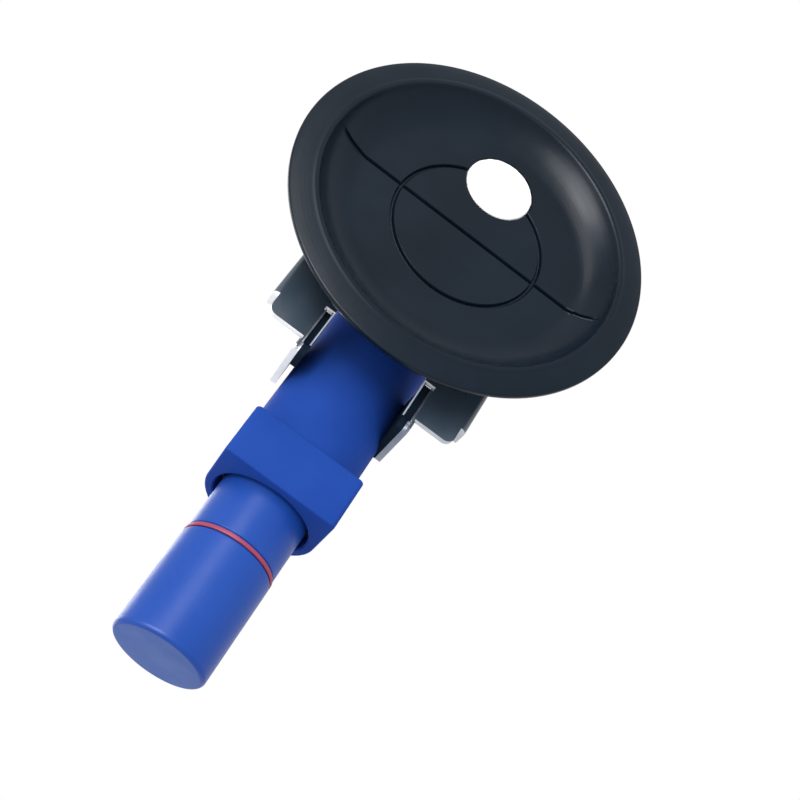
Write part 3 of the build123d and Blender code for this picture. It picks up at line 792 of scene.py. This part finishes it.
def build_collar():
    """The collar's skin: rear edge, outside, front edge, then back along the stepped bore."""
    edge = 0.4 * MM             # rounding of the rear and front edges
    steps = 5
    mouth = plunger_radius + 0.75 * MM
    mouth_chamfer = 0.3 * MM
    bush = ring_radius + 0.95 * MM
    lip = collar_front - 3.0 * MM
    seat = barrel_radius + 0.02 * MM
    turns = [atan2(z, y) for y, z in collar_outline(0.0)]
    work = bmesh.new()

    def outer(along, inset):
        return [work.verts.new((along, y, axis_height + z)) for y, z in collar_outline(inset)]

    def inner(along, radius):
        return [work.verts.new((along, radius * cos(turn), axis_height + radius * sin(turn))) for turn in turns]

    quarter = [pi / 2 * k / steps for k in range(steps + 1)]
    rings = [outer(collar_rear + edge * (1 - sin(turn)), edge * (1 - cos(turn))) for turn in reversed(quarter)]
    rings += [outer(collar_front - edge * (1 - sin(turn)), edge * (1 - cos(turn))) for turn in quarter]
    bore = [(collar_front, mouth + mouth_chamfer), (collar_front - mouth_chamfer, mouth), (lip, mouth),
            (lip, bush), (barrel_front, bush), (barrel_front, seat), (collar_rear, seat)]
    rings += [inner(along, radius) for along, radius in bore]
    bridge(work, rings, True)
    return add_object("collar_block", finish_mesh(work, "collar_block", 30), "base")


collar = build_collar()
paint_on(collar, blue_body)
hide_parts("front_collar")


# The plunger: sleeve, red ring and push end

ring_rear -= 0.5 * MM           # in the photo the ring is narrower and a little further back
ring_front -= 0.9 * MM
ring_radius -= 0.2 * MM
cap_wall = 1.55 * MM
sleeve_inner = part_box("plunger_cap")[1][1] - cap_wall
stem_radius = plunger_radius - 0.2 * MM
ring_seat = stem_radius - 0.25 * MM             # bottom of the groove that the ring sits in
seat_gap = 0.2 * MM
seat_edge = 0.35 * MM
sleeve = lathe("plunger_tube", rounded([
    (sleeve_rear, sleeve_inner), (sleeve_rear, stem_radius), (ring_rear - seat_edge, stem_radius),
    (ring_rear - seat_gap, ring_seat), (ring_front + seat_gap, ring_seat), (ring_front + seat_edge, plunger_radius),
    (sleeve_front, plunger_radius, 0), (sleeve_front, sleeve_inner, 0)], 0.1 * MM, 3), "plunger")
paint_on(sleeve, blue_plunger)
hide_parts("plunger_sleeve")

ring_outline = rounded([(ring_rear, ring_seat), (ring_rear, ring_radius),
                        (ring_front, ring_radius), (ring_front, ring_seat)], 0.35 * MM)
ring = lathe("red_ring", ring_outline, "plunger")
paint_on(ring, red_band)
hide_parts("indicator_ring")

cap_rounding = 0.9 * MM
cap_outline = rounded([(sleeve_front, 0.0, 0), (sleeve_front, plunger_radius, 0),
                       (plunger_end, plunger_radius, cap_rounding), (plunger_end, 0.0, 0)], 0, 12)
cap = lathe("push_cap", cap_outline, "plunger")
paint_on(cap, blue_plunger, blue_face_painted_reflection)
# The flat push face gets the lighter blue, a painted reflection.
for polygon in cap.data.polygons:
    polygon.material_index = 1 if polygon.normal.x > 0.995 else 0
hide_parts("plunger_cap")


# The return spring: a coil at its rest length, given a mesh of its own; nothing here closes it up as the plunger
# goes in

def build_spring():
    """An even coil of round wire, with flat-cut ends."""
    wire_radius = 0.6 * MM
    turns = 7
    around = 10
    steps = turns * 40
    radius = spring_outer - wire_radius
    length = spring_front - spring_rear - 2 * wire_radius
    work = bmesh.new()
    rings = []
    for k in range(steps + 1):
        turn = 2 * pi * turns * k / steps
        along = spring_rear + wire_radius + length * k / steps
        out = Vector((0, cos(turn), sin(turn)))
        middle = Vector((along, radius * cos(turn), axis_height + radius * sin(turn)))
        rings.append([work.verts.new(middle + wire_radius * (out * cos(2 * pi * j / around)
                                                             + Vector((1, 0, 0)) * sin(2 * pi * j / around)))
                      for j in range(around)])
    bridge(work, rings, False)
    for end in (rings[0], rings[-1]):
        work.faces.new(end)
    return add_object("coil", finish_mesh(work, "coil", 60), "base")


coil = build_spring()
paint_on(coil, wire)
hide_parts("return_spring")
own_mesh(coil)


# Small metal and plastic pieces, from the CAD shapes with softened edges

small_pieces = [                # name, node, body, material, slot and softened edge in mm
    ("plate_disc", "backing_plate", "base", plate_metal, "cast_plate", 0.1),
    ("screw_set", "bracket_screws", "base", zinc, "zinc_steel", 0.08),
    ("foot_screw_set", "foot_screws", "base", zinc, "zinc_steel", 0.08),
    ("plug_body", "rear_plug", "base", blue_body, "blue_plastic", 0.1),
    ("plug_ring", "plug_seal", "base", seal_rubber, "seal_rubber", 0),
    ("end_screw", "rear_screw", "base", zinc, "zinc_steel", 0.08),
    ("end_washer", "plug_washer", "base", zinc, "zinc_steel", 0.04),
    ("bush_ring", "guide_bush", "base", black_nylon, "black_plastic", 0.08),
    ("ferrule_tube", "port_ferrule", "base", brass, "brass_fitting", 0.05),
    ("port_ring", "port_seal", "base", seal_rubber, "seal_rubber", 0),
    ("intake_disc", "intake_valve", "intake_valve", seal_rubber, "seal_rubber", 0.08),
    ("exhaust_disc", "exhaust_valve", "exhaust_valve", seal_rubber, "seal_rubber", 0.08),
    ("cage_disc", "valve_cage", "plunger", white_nylon, "white_plastic", 0.05),
    ("piston", "piston_head", "plunger", black_nylon, "black_plastic", 0.08),
    ("piston_ring", "piston_seal", "plunger", seal_rubber, "seal_rubber", 0)]
for name, node, body, material, slot, bevel in small_pieces:
    piece = dressed(name, node, body, bevel * MM)
    paint_on(piece, material)


# Camera: where the photograph was taken from, found from the pad's rim and the pump's edges

photo_pixels = 800
focal_pixels = 1279.2
camera_place = Vector((170.725, 7.954, -180.547)) * MM
camera_right = Vector((-0.45908, -0.79892, -0.38854))
camera_up = Vector((-0.68062, 0.59738, -0.42414))
camera_back = camera_right.cross(camera_up).normalized()
camera_up = camera_back.cross(camera_right).normalized()
camera_right = camera_up.cross(camera_back)
camera_data = bpy.data.cameras.new("camera")
camera_data.sensor_width = 36.0
camera_data.lens = camera_data.sensor_width * focal_pixels / photo_pixels
camera_data.clip_start = 0.01
camera = bpy.data.objects.new("camera", camera_data)
bpy.context.scene.collection.objects.link(camera)
camera.matrix_world = Matrix.Translation(camera_place) @ Matrix(
    (camera_right, camera_up, camera_back)).transposed().to_4x4()
bpy.context.scene.camera = camera


# Studio: a pale floor that only shows from above, soft lamps and a white surround

def node_of(tree, kind, operation, *sources):
    """A maths node fed from sockets or numbers, and its result."""
    node = tree.nodes.new(kind)
    node.operation = operation
    for place, source in enumerate(sources):
        if isinstance(source, float):
            node.inputs[place].default_value = source
        else:
            tree.links.new(source, node.inputs[place])
    return node.outputs["Value"]


def mixed(tree, factor, first, second):
    """A blend of two shaders."""
    node = tree.nodes.new("ShaderNodeMixShader")
    for socket, source in zip(node.inputs, (factor, first, second)):
        tree.links.new(source, socket)
    return node.outputs[0]


def build_floor():
    """A wide floor just under the sealing edge. Seen from below, it lets the view and the light through."""
    half = 3.0
    low = -0.2 * MM
    paper_end, white_start = 0.12, 0.5      # the paper turns into plain white between these distances
    mesh = bpy.data.meshes.new("floor")
    mesh.from_pydata([(-half, -half, low), (half, -half, low), (half, half, low), (-half, half, low)], [],
                     [(0, 1, 2, 3)])
    floor = bpy.data.objects.new("floor", mesh)
    bpy.context.scene.collection.objects.link(floor)
    material = bpy.data.materials.new("floor_paper")
    material.use_nodes = True
    tree = material.node_tree
    tree.nodes.clear()
    diffuse = tree.nodes.new("ShaderNodeBsdfDiffuse")
    diffuse.inputs["Color"].default_value = (0.86, 0.86, 0.87, 1.0)
    glow = tree.nodes.new("ShaderNodeEmission")
    clear = tree.nodes.new("ShaderNodeBsdfTransparent")
    where = tree.nodes.new("ShaderNodeTexCoord").outputs["Object"]
    fade = tree.nodes.new("ShaderNodeMapRange")
    fade.interpolation_type = "SMOOTHSTEP"
    fade.inputs["From Min"].default_value = paper_end
    fade.inputs["From Max"].default_value = white_start
    tree.links.new(node_of(tree, "ShaderNodeVectorMath", "LENGTH", where), fade.inputs["Value"])
    paper = mixed(tree, fade.outputs["Result"], diffuse.outputs[0], glow.outputs[0])
    seen = tree.nodes.new("ShaderNodeLightPath").outputs["Is Camera Ray"]
    below = tree.nodes.new("ShaderNodeNewGeometry").outputs["Backfacing"]
    above = node_of(tree, "ShaderNodeMath", "SUBTRACT", 1.0, below)
    shows = node_of(tree, "ShaderNodeMath", "MULTIPLY", seen, above)
    output = tree.nodes.new("ShaderNodeOutputMaterial")
    tree.links.new(mixed(tree, shows, clear.outputs[0], paper), output.inputs["Surface"])
    floor.data.materials.append(material)


lamp_distance = 0.9
lamp_target = Vector((0.02, 0, 0.015))


def add_lamp(name, direction, size, power):
    """A soft square lamp aimed at the object from a direction."""
    data = bpy.data.lights.new(name, "AREA")
    data.size = size
    data.energy = power
    lamp = bpy.data.objects.new(name, data)
    bpy.context.scene.collection.objects.link(lamp)
    away = Vector(direction).normalized()
    lamp.location = lamp_target + away * lamp_distance
    lamp.rotation_mode = "QUATERNION"
    lamp.rotation_quaternion = (-away).to_track_quat("-Z", "Y")
    lamp.visible_camera = False
    return lamp


def toward(right, up, back):
    """A direction given in the camera's own axes."""
    return camera_right * right + camera_up * up + camera_back * back


def build_world(ambient):
    """White where it is seen or mirrored, and a plain soft light elsewhere."""
    world = bpy.data.worlds.new("surround")
    bpy.context.scene.world = world
    world.use_nodes = True
    tree = world.node_tree
    background = tree.nodes["Background"]
    background.inputs["Color"].default_value = (1.0, 1.0, 1.0, 1.0)
    path = tree.nodes.new("ShaderNodeLightPath")
    seen = node_of(tree, "ShaderNodeMath", "MAXIMUM", path.outputs["Is Camera Ray"], path.outputs["Is Glossy Ray"])
    seen = node_of(tree, "ShaderNodeMath", "MAXIMUM", seen, path.outputs["Is Transmission Ray"])
    strength = tree.nodes.new("ShaderNodeMapRange")
    strength.inputs["To Min"].default_value = ambient
    strength.inputs["To Max"].default_value = 1.0
    tree.links.new(seen, strength.inputs["Value"])
    tree.links.new(strength.outputs["Result"], background.inputs["Strength"])


build_floor()
build_world(0.9)
add_lamp("key", toward(0.0, 0.56, 0.83), 0.35, 3.6)
add_lamp("top", toward(0.2, 0.8, 0.55), 0.4, 2.6)
sheen = add_lamp("sheen", toward(-0.34, 0.4, 0.85), 0.6, 16.0)
sheen.visible_diffuse = False   # only mirrored, as the pale band up the pad's far wall
add_lamp("fill", toward(-0.8, 0.1, 0.6), 0.6, 1.0)
add_lamp("back", (-0.3, 0.4, 1.0), 0.7, 4.0)

view_settings = bpy.context.scene.view_settings
view_settings.view_transform = "Standard"
